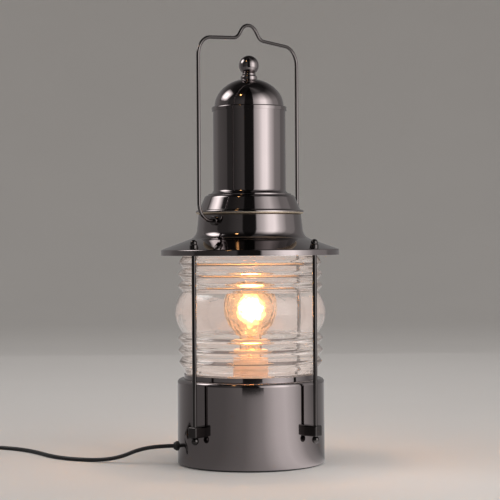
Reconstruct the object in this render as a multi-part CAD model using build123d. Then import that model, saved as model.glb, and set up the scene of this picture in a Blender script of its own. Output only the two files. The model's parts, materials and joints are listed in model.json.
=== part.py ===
from build123d import *
import math
import os

os.makedirs("parts", exist_ok=True)

# Ship-lantern table lamp, millimetres, +Z up. The origin is the middle of the underside.
# The bail turns on an axis along X, and the four cage rods stand on the X and Y axes.

# Common sheet, fits and cutters
sheet_wall = 1.2
seat_gap = 0.05
thread_gap = 0.05
running_gap = 0.08
overrun = 2.0

# Base drum, plate and pad
drum_radius = 82.5
drum_height = 94.0
drum_shoulder = 4.5
pad_thickness = 2.0
pad_inset = 3.5
plate_thickness = 1.5
plate_gap = 0.2
lug_count = 3
lug_width = 14.0
lug_depth = 12.0
lug_height = 9.0
plate_screw_radius = 1.9
plate_screw_head = 3.8
plate_screw_length = 8.0

# Lens seat and lens
gasket_thickness = 1.3
gallery_height = 5.0
gallery_seat_width = 9.0
lens_side_gap = 0.4
lens_inset = 9.1
lens_foot_wall = 3.4
lens_foot_height = 9.6
lens_foot_straight = 4.6
lens_root_wall = 6.0
lens_neck_wall = 5.4
lens_neck_height = 9.6
ridge_count = 3
ridge_pitch = 13.1
ridge_depth = 6.4
ridge_round = 2.2
ridge_depth_shares = (1.0, 0.94, 0.76)
belt_height = 45.9
belt_bulge = 8.6
inner_ridge_depth_share = 0.7
inner_ridge_round = 3.0
clamp_overhang = 8.0
clamp_inside = 4.0

# Hood
brim_overhang = 7.0
brim_width = 39.7
lip_height = 6.2
lip_round = 1.6
brim_rise = 14.4
collar_taper = 2.6
collar_height = 25.4
collar_sweep = 12.0
collar_round = 1.4
hood_flange_width = 11.7

# Shoulder cap with its bead
bead_overhang = 3.0
bead_height = 4.6
bead_round = 2.2
shoulder_inset = 0.8
shoulder_taper = 6.9
shoulder_height = 21.4
shoulder_root = 0.7
shoulder_round = 5.0
shoulder_flange_width = 9.7
shoulder_hole_gap = 1.3

# Chimney, top ring, dome and finial
chimney_inset = 9.3
chimney_height = 95.6
chimney_foot_width = 5.9
chimney_foot_sweep = 5.4
ring_overhang = 1.4
ring_height = 4.8
ring_skirt = 1.2
ring_ledge_width = 2.9
ring_round = 1.6
dome_inset = 1.8
dome_skirt = 2.4
dome_height = 31.6
dome_gap = 0.3
finial_flange_radius = 9.2
finial_flange_height = 3.4
finial_neck_radius = 7.6
finial_neck_height = 2.6
finial_waist_radius = 6.8
finial_ball_radius = 11.2
finial_ball_rise = 14.8
finial_hole_depth = 12.0

# Tie rod that clamps the head together
tie_radius = 3.0
tie_tail = 3.0
bridge_end_gap = 2.5
bridge_width = 14.0
bridge_thickness = 3.0
bridge_nut_radius = 5.8
bridge_nut_height = 5.0

# Cage rods, brackets and nuts
rod_count = 4
rod_stand = 10.5
rod_radius = 2.4
rod_hole_gap = 0.15
bracket_rise = 34.5
bracket_width = 11.0
bracket_height = 12.0
bracket_nose = 5.0
bracket_round = 1.5
bracket_screw_radius = 2.0
bracket_screw_grip = 5.0
bracket_screw_head = 3.6
bracket_screw_head_height = 2.2
ball_nut_radius = 4.2
ball_nut_drop = 3.7
acorn_collar_radius = 4.6
acorn_collar_height = 3.2
acorn_ball_radius = 3.9
acorn_ball_rise = 4.9
acorn_rod_depth = 5.0
lock_nut_radius = 4.7
lock_nut_height = 3.2

# Bail and its bushes
bail_wire_radius = 2.0
bail_stand = 26.3
bail_rise = 199.8
bail_crown_rise = 4.4
bail_hump_half_width = 19.5
bail_hump_rise = 26.5
bail_foot_sweep = 19.0
bail_corner_sweep = 21.0
bail_hump_foot_sweep = 14.0
bail_hump_top_sweep = 16.0
bail_pin_inside = 5.0
pivot_drop = 7.7
bush_radius = 3.4
bush_flange_radius = 5.0
bush_flange_stand = 1.6
bush_inside = 1.5

# Lampholder
holder_radius = 19.5
holder_height = 50.0
holder_rise = 28.0
holder_bore_radius = 14.0
holder_bore_depth = 29.0
holder_round = 1.5
holder_gap = 0.3
holder_ring_radius = 27.0
holder_ring_height = 4.5
holder_ring_round = 1.2
holder_shell_wall = 0.5
holder_shell_drop = 1.0
holder_contact_radius = 4.5
holder_contact_thickness = 1.2

# Bulb
bulb_length = 108.0
bulb_globe_radius = 30.0
bulb_neck_radius = 12.4
bulb_neck_start = 20.0
bulb_sweep = 24.0
bulb_glass_wall = 0.7
bulb_tip_radius = 4.7
bulb_tip_height = 1.4
bulb_insulator_height = 3.4
bulb_insulator_radius = 10.5
bulb_cap_radius = 13.0
bulb_cap_wall = 0.5
bulb_cap_height = 21.5
stem_flare_height = 1.5
stem_radius = 4.0
stem_waist_radius = 2.4
stem_height = 30.0
stem_bead_radius = 3.2
filament_radius = 0.45
filament_ring_radius = 13.5
filament_ring_angle = 280.0
filament_wire_radius = 0.35
filament_wire_count = 5

# Cord and grommet
cord_radius = 2.25
cord_gap = 0.1
cord_exit_height = 20.5
cord_exit_angle = 135.0
cord_arc_share = 0.45
inner_lead_sweep = 40.0
grommet_radius = 5.4
grommet_groove_radius = 4.0
grommet_lip = 1.8
grommet_nose = 3.0
grommet_nose_radius = 3.4
grommet_back = 1.5

# Cord route past the grommet, chosen by hand: out of the drum, down to the table and back to the switch
cord_run_points = [
    (-72.4, 72.4, 20.5),
    (-84.9, 93.1, 16.5),
    (-93.3, 115.0, 6.5),
    (-103.0, 138.3, 2.3),
    (-115.1, 169.0, 2.3),
    (-114.0, 204.3, 2.3),
    (-99.1, 245.1, 2.3),
    (-90.8, 282.8, 2.3),
    (-94.6, 319.2, 2.3),
    (-109.2, 343.6, 2.3),
    (-133.7, 348.9, 4.2),
    (-154.2, 339.0, 7.5),
    (-166.1, 331.3, 7.5),
]
cord_link_points = [
    (-229.6, 288.5, 4.8),
    (-241.4, 277.7, 3.2),
    (-250.5, 269.9, 3.2),
]
cord_tail_points = [
    (-184.9, 240.4, 5.6),
    (-180.1, 257.5, 5.0),
    (-174.6, 270.9, 7.0),
    (-166.0, 279.4, 7.0),
]
cord_straight_share = 3.0

# Coil of put-away cord
coil_turn_pitch = 5.1
coil_outer_radius = 36.6
coil_half_turns = 7
coil_tuck_share = 0.3
coil_return_share = 0.5
coil_sample_count = 48
tie_strap_width = 8.0
tie_strap_thickness = 0.7
tie_strap_gap = 0.15
tie_strap_side_gap = 0.7

# Inline switch
switch_case_length = 46.0
switch_width = 24.0
switch_height = 15.0
switch_wall = 1.8
switch_round = 2.6
switch_nose_length = 8.0
switch_nose_root_radius = 6.2
switch_nose_tip_radius = 4.2
switch_cord_depth = 9.0
rocker_radius = 10.5
rocker_width = 9.6
rocker_gap = 0.4
rocker_pivot_height = 9.5
rocker_below_pivot = 3.2
rocker_valley_rise = 5.9
rocker_slope_angle = 10.0
rocker_tilt_angle = 8.0
switch_pin_radius = 1.5
switch_pin_seat = 1.2

# Plug
plug_boot_length = 12.0
plug_boot_tip_radius = 3.8
plug_boot_root_radius = 5.6
plug_cord_depth = 6.0
plug_shoulder_width = 16.0
plug_shoulder_height = 11.4
plug_face_width = 35.0
plug_face_height = 14.0
plug_taper_length = 26.0
plug_face_length = 8.0
plug_round = 4.0
plug_pin_radius = 2.0
plug_pin_length = 19.0
plug_pin_seat = 7.0
plug_pin_spacing = 18.6
plug_pin_round = 1.2

# Radii stepped out from the drum and in again up the head
drum_inner_radius = drum_radius - sheet_wall
rod_circle = drum_radius + rod_stand
brim_radius = rod_circle + brim_overhang
lens_foot_radius = drum_radius - lens_inset
lens_bore_radius = lens_foot_radius - lens_foot_wall
lens_root_radius = lens_bore_radius + lens_root_wall
lens_neck_radius = lens_bore_radius + lens_neck_wall
gallery_radius = lens_foot_radius + lens_side_gap + sheet_wall
clamp_radius = lens_root_radius + clamp_overhang
clamp_inner_radius = lens_bore_radius - clamp_inside
collar_foot_radius = brim_radius - brim_width
collar_top_radius = collar_foot_radius - collar_taper
hood_flange_radius = collar_top_radius - hood_flange_width
bridge_half_length = collar_top_radius - sheet_wall - bridge_end_gap
bead_radius = collar_top_radius + bead_overhang
shoulder_base_radius = collar_top_radius - shoulder_inset
shoulder_top_radius = shoulder_base_radius - shoulder_taper
shoulder_flange_radius = bead_radius - shoulder_flange_width
chimney_radius = shoulder_top_radius - chimney_inset
chimney_foot_radius = chimney_radius + chimney_foot_width
shoulder_hole_radius = chimney_radius + shoulder_hole_gap
ring_radius = chimney_radius + ring_overhang
dome_radius = chimney_radius - dome_inset
ring_ledge_radius = dome_radius - ring_ledge_width
bail_half_width = collar_top_radius + bail_stand

# Heights stacked up from the table
plate_top_z = pad_thickness + plate_thickness
deck_z = pad_thickness + drum_height
gallery_seat_z = deck_z + sheet_wall
lens_z = gallery_seat_z + gasket_thickness
belt_z = lens_z + lens_foot_height + ridge_count * ridge_pitch
belt_top_z = belt_z + belt_height
neck_z = belt_top_z + ridge_count * ridge_pitch
lens_top_z = neck_z + lens_neck_height
clamp_z = lens_top_z + gasket_thickness
clamp_top_z = clamp_z + sheet_wall
brim_slope = brim_rise / (brim_radius - collar_foot_radius)
brim_wall_drop = sheet_wall * math.hypot(1, brim_slope)
brim_top_z = clamp_top_z + seat_gap + brim_wall_drop - (brim_radius - clamp_radius) * brim_slope
brim_z = brim_top_z - lip_height
collar_z = brim_top_z + brim_rise
hood_top_z = collar_z + collar_height
pivot_z = hood_top_z - pivot_drop
shoulder_top_z = hood_top_z + shoulder_height
chimney_top_z = shoulder_top_z + chimney_height
dome_z = chimney_top_z + sheet_wall
dome_spring_z = dome_z + dome_skirt
dome_top_z = dome_spring_z + dome_height
bracket_z = pad_thickness + bracket_rise
holder_top_z = deck_z + holder_rise
holder_floor_z = holder_top_z - holder_bore_depth
bulb_z = holder_floor_z + holder_contact_thickness
globe_z = bulb_z + bulb_length - bulb_globe_radius
brim_at_rod_z = brim_top_z + brim_overhang * brim_slope


def disc(radius, low, high):
    """Upright cylinder on the Z axis between two heights."""
    return Pos(0, 0, low) * Cylinder(radius, high - low, align=(Align.CENTER, Align.CENTER, Align.MIN))


def ring(outer, inner, low, high):
    """Upright ring with a plain bore."""
    return disc(outer, low, high) - disc(inner, low - overrun, high + overrun)


def lying(radius, near, far):
    """Cylinder along X between two distances from the Z axis."""
    return Rot(0, 90, 0) * disc(radius, near, far)


def turned(*edges):
    """Solid turned about Z from a closed outline in (radius, height)."""
    return revolve(Plane.XZ * make_face(edges), Axis.Z)


def spun(points, radii, side=Side.LEFT):
    """Sheet of even wall turned about Z from the points of one of its faces."""
    face_line = FilletPolyline(*points, radius=radii)
    return turned(offset(face_line, sheet_wall, side=side))


def wire(path, radius):
    """Round wire along a path."""
    return sweep(Plane(origin=path @ 0, z_dir=path % 0) * Circle(radius), path=path)


def around(count, piece, first_angle=0):
    """Copies of a piece at even angles about Z."""
    step = 360 / count
    return [Rot(0, 0, first_angle + step * place) * piece for place in range(count)]


def group(pieces):
    """Separate solids that share one node."""
    return Compound(children=[solid for piece in pieces for solid in piece.solids()])


def save(name, piece):
    """Write one node."""
    export_step(piece, f"parts/{name}.step")


# Base

def felt_pad():
    return disc(drum_radius - pad_inset, 0, pad_thickness)


def plate_screw():
    """Countersunk screw, head flush with the underside of the plate."""
    head_height = min(plate_screw_head - plate_screw_radius, plate_thickness)
    tip_z = pad_thickness + plate_screw_length
    outline = Polyline(
        (0, pad_thickness),
        (plate_screw_head, pad_thickness),
        (plate_screw_radius, pad_thickness + head_height),
        (plate_screw_radius, tip_z),
        (0, tip_z),
        close=True,
    )
    return Pos(lug_circle(), 0, 0) * turned(outline)


def lug_circle():
    """Distance of a plate screw from the axis."""
    return drum_inner_radius - lug_depth / 2


def plate_screw_cutter():
    """Hole for a plate screw with its countersink."""
    shank_radius = plate_screw_radius + thread_gap
    head_radius = plate_screw_head + thread_gap
    high = plate_top_z + lug_height + overrun
    outline = Polyline(
        (0, pad_thickness - overrun),
        (head_radius + overrun, pad_thickness - overrun),
        (shank_radius, pad_thickness + head_radius - shank_radius),
        (shank_radius, high),
        (0, high),
        close=True,
    )
    return Pos(lug_circle(), 0, 0) * turned(outline)


def base_plate():
    plate = disc(drum_inner_radius - plate_gap, pad_thickness, plate_top_z)
    for cutter in around(lug_count, plate_screw_cutter(), cord_exit_angle + 180 / lug_count):
        plate -= cutter
    return plate


def plate_lugs():
    """Blocks fixed inside the drum wall that take the plate screws."""
    block = Pos(drum_inner_radius, 0, plate_top_z) * Box(
        2 * lug_depth, lug_width, lug_height, align=(Align.CENTER, Align.CENTER, Align.MIN)
    )
    block &= disc(drum_inner_radius - seat_gap, plate_top_z, plate_top_z + lug_height)
    return group(around(lug_count, block - plate_screw_cutter(), cord_exit_angle + 180 / lug_count))


def plate_screws():
    return group(around(lug_count, plate_screw(), cord_exit_angle + 180 / lug_count))


def base_drum():
    """Spun drum with its deck, open below, pierced for the holder, the cord and the bracket screws."""
    drum = spun(
        [(drum_radius, pad_thickness), (drum_radius, deck_z), (holder_radius + holder_gap, deck_z)],
        [drum_shoulder],
    )
    inside = drum_inner_radius - lug_depth
    outside = drum_radius + overrun
    drum -= at_cord_exit(lying(grommet_groove_radius + seat_gap, inside, outside))
    hole = lying(bracket_screw_radius + thread_gap, inside, outside)
    for cutter in around(rod_count, Pos(0, 0, bracket_z + bracket_height / 2) * hole):
        drum -= cutter
    return drum


def at_cord_exit(piece):
    """Turn a piece made along X to the cord exit."""
    return Rot(0, 0, cord_exit_angle) * Pos(0, 0, cord_exit_height) * piece


def cord_grommet():
    """Rubber grommet with a groove for the drum wall and a short nose."""
    back_face = math.sqrt(drum_inner_radius ** 2 - grommet_radius ** 2) - seat_gap
    lip_face = drum_radius + seat_gap
    outer_face = lip_face + grommet_lip
    outline = Polyline(
        (0, back_face - grommet_back),
        (grommet_radius, back_face - grommet_back),
        (grommet_radius, back_face),
        (grommet_groove_radius, back_face),
        (grommet_groove_radius, lip_face),
        (grommet_radius, lip_face),
        (grommet_radius, outer_face),
        (grommet_nose_radius + grommet_lip, outer_face),
        (grommet_nose_radius, outer_face + grommet_nose),
        (0, outer_face + grommet_nose),
        close=True,
    )
    bore = disc(cord_radius + cord_gap, 0, outer_face + grommet_nose + overrun)
    return at_cord_exit(Rot(0, 90, 0) * (turned(outline) - bore))


def rod_bracket():
    """Block on the drum wall with an upright bore for a rod and a screw hole in its back."""
    middle_z = bracket_z + bracket_height / 2
    start = drum_inner_radius
    end = rod_circle + bracket_nose
    face = Pos(0, middle_z) * RectangleRounded(bracket_width, bracket_height, bracket_round)
    block = extrude(Plane.YZ.offset(start) * face, end - start)
    block = fillet(block.faces().sort_by(Axis.X)[-1].edges(), bracket_round)
    block -= disc(drum_radius + seat_gap, 0, deck_z)
    block -= Pos(rod_circle, 0, 0) * disc(rod_radius + rod_hole_gap, 0, deck_z)
    screw_end = drum_radius + bracket_screw_grip
    return block - Pos(0, 0, middle_z) * lying(bracket_screw_radius + thread_gap, start, screw_end)


def bracket_screw():
    """Pan-head screw driven outwards from inside the drum."""
    head_face = math.sqrt(drum_inner_radius ** 2 - bracket_screw_head ** 2) - seat_gap
    screw = lying(bracket_screw_head, head_face - bracket_screw_head_height, head_face)
    screw += lying(bracket_screw_radius, head_face, drum_radius + bracket_screw_grip - seat_gap)
    return Pos(0, 0, bracket_z + bracket_height / 2) * screw


# Lens

def lens_gallery():
    """Ring with an upstanding wall that locates the foot of the lens."""
    inner_radius = gallery_radius - sheet_wall - gallery_seat_width
    wall_inner = gallery_radius - sheet_wall
    outline = Polyline(
        (inner_radius, deck_z),
        (gallery_radius, deck_z),
        (gallery_radius, deck_z + gallery_height),
        (wall_inner, deck_z + gallery_height),
        (wall_inner, gallery_seat_z),
        (inner_radius, gallery_seat_z),
        close=True,
    )
    return turned(outline)


def lens_gasket(outer_radius, low):
    return ring(outer_radius, lens_bore_radius, low, low + gasket_thickness)


def ridge_run(start_z, direction, root_radius, depth, tip_round, valley_round):
    """Outline of one bank of ridges, from the belt towards an end of the lens."""
    points = []
    rounds = []
    for place in range(ridge_count):
        tip_z = start_z + direction * ridge_pitch * (place + 1 / 2)
        valley_z = start_z + direction * ridge_pitch * (place + 1)
        points += [(root_radius + depth * ridge_depth_shares[place], tip_z), (root_radius, valley_z)]
        rounds += [tip_round, valley_round]
    return points, [*rounds[:-1], 0]


def belt_arc(root_radius):
    return ThreePointArc(
        (root_radius, belt_z),
        (root_radius + belt_bulge, belt_z + belt_height / 2),
        (root_radius, belt_top_z),
    )


def bore_run(start_z, end_z, direction):
    """Inside of one bank: softer waves that follow the ridges, then the plain bore."""
    depth = ridge_depth * inner_ridge_depth_share
    rounding = inner_ridge_round
    points, rounds = ridge_run(start_z, direction, lens_bore_radius, depth, rounding, rounding)
    return FilletPolyline((lens_bore_radius, start_z), *points, (lens_bore_radius, end_z), radius=rounds)


def fresnel_lens():
    """Drum lens moulded hollow: a bulging belt between two banks of ridges, its bore following them."""
    low_points, low_rounds = ridge_run(belt_z, -1, lens_root_radius, ridge_depth, ridge_round, 0)
    foot_points = [(lens_foot_radius, lens_z + lens_foot_straight), (lens_foot_radius, lens_z)]
    low_line = FilletPolyline(
        (lens_root_radius, belt_z), *low_points, *foot_points, (lens_bore_radius, lens_z),
        radius=[*low_rounds, 0, 0],
    )
    high_points, high_rounds = ridge_run(belt_top_z, 1, lens_root_radius, ridge_depth, ridge_round, 0)
    neck_points = [(lens_neck_radius, lens_top_z)]
    high_line = FilletPolyline(
        (lens_root_radius, belt_top_z), *high_points, *neck_points, (lens_bore_radius, lens_top_z),
        radius=[*high_rounds, 0],
    )
    low_bore = bore_run(belt_z, lens_z, -1)
    high_bore = bore_run(belt_top_z, lens_top_z, 1)
    belts = [belt_arc(lens_root_radius), belt_arc(lens_bore_radius)]
    return turned(*belts, low_line, high_line, low_bore, high_bore)


def lens_clamp_ring():
    """Flat ring under the hood that carries the hood on the lens."""
    return ring(clamp_radius, clamp_inner_radius, clamp_z, clamp_top_z)


# Head

def hood_points():
    return [
        (brim_radius, brim_z),
        (brim_radius, brim_top_z),
        (collar_foot_radius, collar_z),
        (collar_top_radius, hood_top_z),
        (hood_flange_radius, hood_top_z),
    ]


def hood_rounds():
    return [lip_round, collar_sweep, collar_round]


def hood_envelope(gap):
    """Solid filling the outside of the hood, grown by a gap, to seat pieces on it."""
    line = FilletPolyline(*hood_points(), radius=hood_rounds())
    top = Line((hood_flange_radius, hood_top_z), (0, hood_top_z))
    axis_line = Line((0, hood_top_z), (0, brim_z))
    bottom = Line((0, brim_z), (brim_radius, brim_z))
    return turned(offset(make_face([line, top, axis_line, bottom]), gap) & half_plane())


def half_plane():
    """Everything on the outer side of the axis, for an outline that was grown across it."""
    return Pos(bail_half_width, hood_top_z) * Rectangle(2 * bail_half_width, 2 * hood_top_z)


def pivot_ends(piece):
    """A piece made along +X at the pivot height, at both ends of the bail axis."""
    return [Rot(0, 0, angle) * Pos(0, 0, pivot_z) * piece for angle in (0, 180)]


def hood():
    """Spun hood: lip, sloping brim, collar and the flange that carries the shoulder cap."""
    shell = spun(hood_points(), hood_rounds())
    hole = Pos(rod_circle, 0, 0) * disc(rod_radius + rod_hole_gap, brim_z, collar_z)
    for cutter in around(rod_count, hole):
        shell -= cutter
    for cutter in pivot_ends(lying(bush_radius + seat_gap, hood_flange_radius, bail_half_width)):
        shell -= cutter
    return shell


def shoulder_cap():
    """Spun cap with a rolled bead at its foot."""
    return spun(
        [
            (shoulder_flange_radius, hood_top_z),
            (bead_radius, hood_top_z),
            (bead_radius, hood_top_z + bead_height),
            (shoulder_base_radius, hood_top_z + bead_height),
            (shoulder_top_radius, shoulder_top_z),
            (shoulder_hole_radius, shoulder_top_z),
        ],
        [bead_round, bead_round, shoulder_root, shoulder_round],
    )


def chimney_tube():
    """Straight tube whose foot flares out into a flat flange."""
    bore_radius = chimney_radius - sheet_wall
    return spun(
        [(chimney_foot_radius, shoulder_top_z), (bore_radius, shoulder_top_z), (bore_radius, chimney_top_z)],
        [chimney_foot_sweep + sheet_wall],
        side=Side.RIGHT,
    )


def chimney_top_ring():
    """Ring on the tube with a ledge that carries the dome."""
    skirt_inner = chimney_radius + seat_gap
    skirt_z = chimney_top_z - ring_skirt
    ring_top_z = skirt_z + ring_height
    wall_inner = dome_radius + dome_gap
    outline = FilletPolyline(
        (skirt_inner, chimney_top_z),
        (skirt_inner, skirt_z),
        (ring_radius, skirt_z),
        (ring_radius, ring_top_z),
        (wall_inner, ring_top_z),
        (wall_inner, dome_z),
        (ring_ledge_radius, dome_z),
        (ring_ledge_radius, chimney_top_z),
        radius=[0, 0, 0, ring_round, 0, 0, 0, 0],
        close=True,
    )
    return turned(outline)


def dome_form(radius, height, low):
    """Straight skirt under half an ellipsoid, filled."""
    corner = (Align.MIN, Align.MIN)
    quarter = Ellipse(radius, height) & Rectangle(radius, height, align=corner)
    crown = revolve(Plane.XZ * Pos(0, dome_spring_z) * quarter, Axis.Z)
    return crown + disc(radius, low, dome_spring_z)


def dome_cap():
    inside = dome_form(dome_radius - sheet_wall, dome_height - sheet_wall, dome_z - overrun)
    shell = dome_form(dome_radius, dome_height, dome_z) - inside
    return shell - disc(tie_radius + thread_gap, dome_z, dome_top_z + overrun)


def finial():
    """Turned finial: flange, neck and ball, hollowed below to sit on the dome."""
    flange_z = dome_top_z
    neck_low_z = flange_z + finial_flange_height
    neck_high_z = neck_low_z + finial_neck_height
    ball_z = dome_top_z + finial_ball_rise
    body = disc(finial_flange_radius, flange_z - finial_flange_height, neck_low_z)
    body = fillet(body.faces().sort_by(Axis.Z)[-1].edges(), finial_flange_height / 2)
    body += disc(finial_waist_radius, flange_z, ball_z)
    neck = disc(finial_neck_radius, neck_low_z + seat_gap, neck_high_z)
    body += fillet(neck.edges().filter_by(GeomType.CIRCLE), finial_neck_height / 3)
    body += Pos(0, 0, ball_z) * Sphere(finial_ball_radius)
    crown = dome_form(dome_radius + seat_gap, dome_height + seat_gap, dome_z)
    return body - crown - disc(tie_radius + thread_gap, dome_z, dome_top_z + finial_hole_depth)


def tie_bottom_z():
    return hood_top_z - sheet_wall - bridge_thickness - bridge_nut_height - tie_tail


def tie_rod():
    return disc(tie_radius, tie_bottom_z(), dome_top_z + finial_hole_depth - seat_gap)


def bridge_bar():
    """Bar across the underside of the hood's flange."""
    low = hood_top_z - sheet_wall - bridge_thickness
    outline = SlotOverall(2 * bridge_half_length, bridge_width, 90)
    bar = extrude(Plane.XY.offset(low) * outline, bridge_thickness)
    return bar - disc(tie_radius + thread_gap, low - overrun, hood_top_z)


def hex_nut(radius, bore, low, height):
    nut = Pos(0, 0, low) * extrude(RegularPolygon(radius, 6), height)
    return nut - disc(bore, low - overrun, low + height + overrun)


def bridge_nut():
    low = hood_top_z - sheet_wall - bridge_thickness - bridge_nut_height
    return hex_nut(bridge_nut_radius, tie_radius + thread_gap, low, bridge_nut_height)


# Cage

def rod_bottom_z():
    return bracket_z - ball_nut_drop


def cage_rod():
    return Pos(rod_circle, 0, 0) * disc(rod_radius, rod_bottom_z(), brim_at_rod_z + acorn_rod_depth)


def ball_nut():
    """Ball screwed on the rod, flat where it meets the bracket."""
    ball = Pos(0, 0, bracket_z - ball_nut_drop) * Sphere(ball_nut_radius)
    ball -= disc(drum_radius, bracket_z, deck_z)
    return Pos(rod_circle, 0, 0) * (ball - disc(rod_radius + thread_gap, rod_bottom_z() - seat_gap, deck_z))


def acorn_nut():
    """Cap nut with a collar that is cut to the slope of the brim."""
    collar_top = brim_at_rod_z + acorn_collar_height
    nut = disc(acorn_collar_radius, brim_z, collar_top)
    nut = fillet(nut.faces().sort_by(Axis.Z)[-1].edges(), acorn_collar_height / 4)
    nut += Pos(0, 0, brim_at_rod_z + acorn_ball_rise) * Sphere(acorn_ball_radius)
    nut -= disc(rod_radius + thread_gap, brim_z - overrun, brim_at_rod_z + acorn_rod_depth + seat_gap)
    return Pos(rod_circle, 0, 0) * nut - hood_envelope(seat_gap)


def lock_nut():
    """Hex nut under the brim, up against the lower edge of its slope."""
    outer_reach = rod_circle + lock_nut_radius
    high = brim_top_z + (brim_radius - outer_reach) * brim_slope - brim_wall_drop - seat_gap
    nut = hex_nut(lock_nut_radius, rod_radius + thread_gap, high - lock_nut_height, lock_nut_height)
    return Pos(rod_circle, 0, 0) * nut


# Bail

def bail():
    """Wire bail: two pivot pins, two legs and a crown with a hump for a hook."""
    pin_end = collar_top_radius - bail_pin_inside
    crown_z = pivot_z + bail_rise
    half = [
        (pin_end, 0, pivot_z),
        (bail_half_width, 0, pivot_z),
        (bail_half_width, 0, crown_z),
        (bail_hump_half_width, 0, crown_z + bail_crown_rise),
    ]
    top = (0, 0, crown_z + bail_crown_rise + bail_hump_rise)
    other = [(-x, y, z) for x, y, z in reversed(half)]
    sweeps = [bail_foot_sweep, bail_corner_sweep, bail_hump_foot_sweep]
    path = FilletPolyline(*half, top, *other, radius=[*sweeps, bail_hump_top_sweep, *reversed(sweeps)])
    return wire(path, bail_wire_radius)


def bail_bush():
    """Eyelet through the collar, its flange cut to the collar."""
    flange_face = max(collar_foot_radius, collar_top_radius) + bush_flange_stand
    flange = lying(bush_flange_radius, hood_flange_radius, flange_face)
    flange = fillet(flange.faces().sort_by(Axis.X)[-1].edges(), bush_flange_stand / 4)
    flange = Pos(0, 0, pivot_z) * flange - hood_envelope(seat_gap)
    sleeve_start = collar_top_radius - sheet_wall - bush_inside
    sleeve = Pos(0, 0, pivot_z) * lying(bush_radius, sleeve_start, flange_face)
    bore = Pos(0, 0, pivot_z) * lying(bail_wire_radius + running_gap, 0, bail_half_width)
    return flange + sleeve - bore


# Lampholder and bulb

def lamp_holder_body():
    """Holder with a blind bore for the bulb and a hole for the cord below."""
    low = holder_top_z - holder_height
    body = disc(holder_radius, low, holder_top_z)
    body = fillet(body.edges().filter_by(GeomType.CIRCLE), holder_round)
    body -= disc(holder_bore_radius, holder_floor_z, holder_top_z + overrun)
    return body - disc(cord_radius + cord_gap, low - overrun, low + holder_ring_height)


def lamp_holder_ring(low):
    body = disc(holder_ring_radius, low, low + holder_ring_height)
    body = fillet(body.edges().filter_by(GeomType.CIRCLE), holder_ring_round)
    return body - disc(holder_radius + thread_gap, low - overrun, low + holder_ring_height + overrun)


def lamp_holder_shell():
    outer = holder_bore_radius - seat_gap
    return ring(outer, outer - holder_shell_wall, holder_floor_z, holder_top_z - holder_shell_drop)


def lamp_holder_contact():
    return disc(holder_contact_radius, holder_floor_z, bulb_z)


def bulb_contact():
    return disc(bulb_tip_radius, bulb_z, bulb_z + bulb_tip_height)


def bulb_insulator():
    low = bulb_z + bulb_tip_height
    high = low + bulb_insulator_height
    outline = Polyline((0, low), (bulb_tip_radius, low), (bulb_insulator_radius, high), (0, high), close=True)
    return turned(outline)


def bulb_cap():
    """Thin metal cap with a floor that closes on the insulator."""
    low = bulb_z + bulb_tip_height + bulb_insulator_height
    cap = disc(bulb_cap_radius, low, low + bulb_cap_height)
    cap = fillet(cap.faces().sort_by(Axis.Z)[0].edges(), bulb_insulator_height / 2)
    bore_low = low + bulb_cap_height / 2
    return cap - disc(bulb_cap_radius - bulb_cap_wall, bore_low, low + bulb_cap_height + overrun)


def bulb_outline(inset):
    """Profile of the bulb from its crown to the foot of its neck, at an inset from the outside."""
    globe = bulb_globe_radius - inset
    neck = bulb_neck_radius - inset
    flare = bulb_sweep + inset
    flare_x = neck + flare
    flare_z = globe_z - math.sqrt((globe + flare) ** 2 - flare_x ** 2)
    lean = math.atan2(flare_z - globe_z, flare_x)
    touch = (globe * math.cos(lean), globe_z + globe * math.sin(lean))
    bulge = (lean + math.pi / 2) / 2
    waist = (math.pi + lean + math.pi) / 2
    globe_mid = (globe * math.cos(bulge), globe_z + globe * math.sin(bulge))
    flare_mid = (flare_x + flare * math.cos(waist), flare_z + flare * math.sin(waist))
    foot_z = bulb_z + bulb_neck_start
    return [
        ThreePointArc((0, globe_z + globe), globe_mid, touch),
        ThreePointArc(touch, flare_mid, (neck, flare_z)),
        Line((neck, flare_z), (neck, foot_z)),
    ]


def bulb_glass():
    foot_z = bulb_z + bulb_neck_start
    crown_z = globe_z + bulb_globe_radius
    return turned(
        *bulb_outline(0),
        *bulb_outline(bulb_glass_wall),
        Line((bulb_neck_radius, foot_z), (bulb_neck_radius - bulb_glass_wall, foot_z)),
        Line((0, crown_z), (0, crown_z - bulb_glass_wall)),
    )


def stem_top_z():
    return bulb_z + bulb_neck_start + stem_height


def bulb_stem():
    """Glass stem: a flare in the neck, a drawn tube and a bead that holds the wires."""
    low = bulb_z + bulb_neck_start
    flare_radius = bulb_neck_radius - bulb_glass_wall - seat_gap
    outline = Polyline(
        (0, low),
        (flare_radius, low),
        (flare_radius, low + stem_flare_height),
        (stem_radius, low + stem_height / 3),
        (stem_waist_radius, stem_top_z()),
        (0, stem_top_z()),
        close=True,
    )
    return turned(outline) + Pos(0, 0, stem_top_z()) * Sphere(stem_bead_radius)


def bulb_filament():
    """Coiled filament drawn as a fine open ring."""
    start_angle = (360 - filament_ring_angle) / 2
    arc = Pos(0, 0, globe_z) * CenterArc((0, 0), filament_ring_radius, start_angle, filament_ring_angle)
    return wire(arc, filament_radius)


def filament_wires():
    """Two leads and the supports between them, from the bead to the filament."""
    reach = filament_ring_radius - filament_radius - filament_wire_radius - seat_gap
    start = stem_bead_radius + seat_gap
    wires = []
    for place in range(filament_wire_count):
        share = place / (filament_wire_count - 1)
        angle = (360 - filament_ring_angle) / 2 + filament_ring_angle * share
        lean = Vector(reach, 0, globe_z - stem_top_z())
        foot = Vector(0, 0, stem_top_z()) + lean.normalized() * start
        tip = Vector(reach, 0, globe_z)
        wires.append(Rot(0, 0, angle) * wire(Line(foot, tip), filament_wire_radius))
    return group(wires)


# Cord

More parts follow.
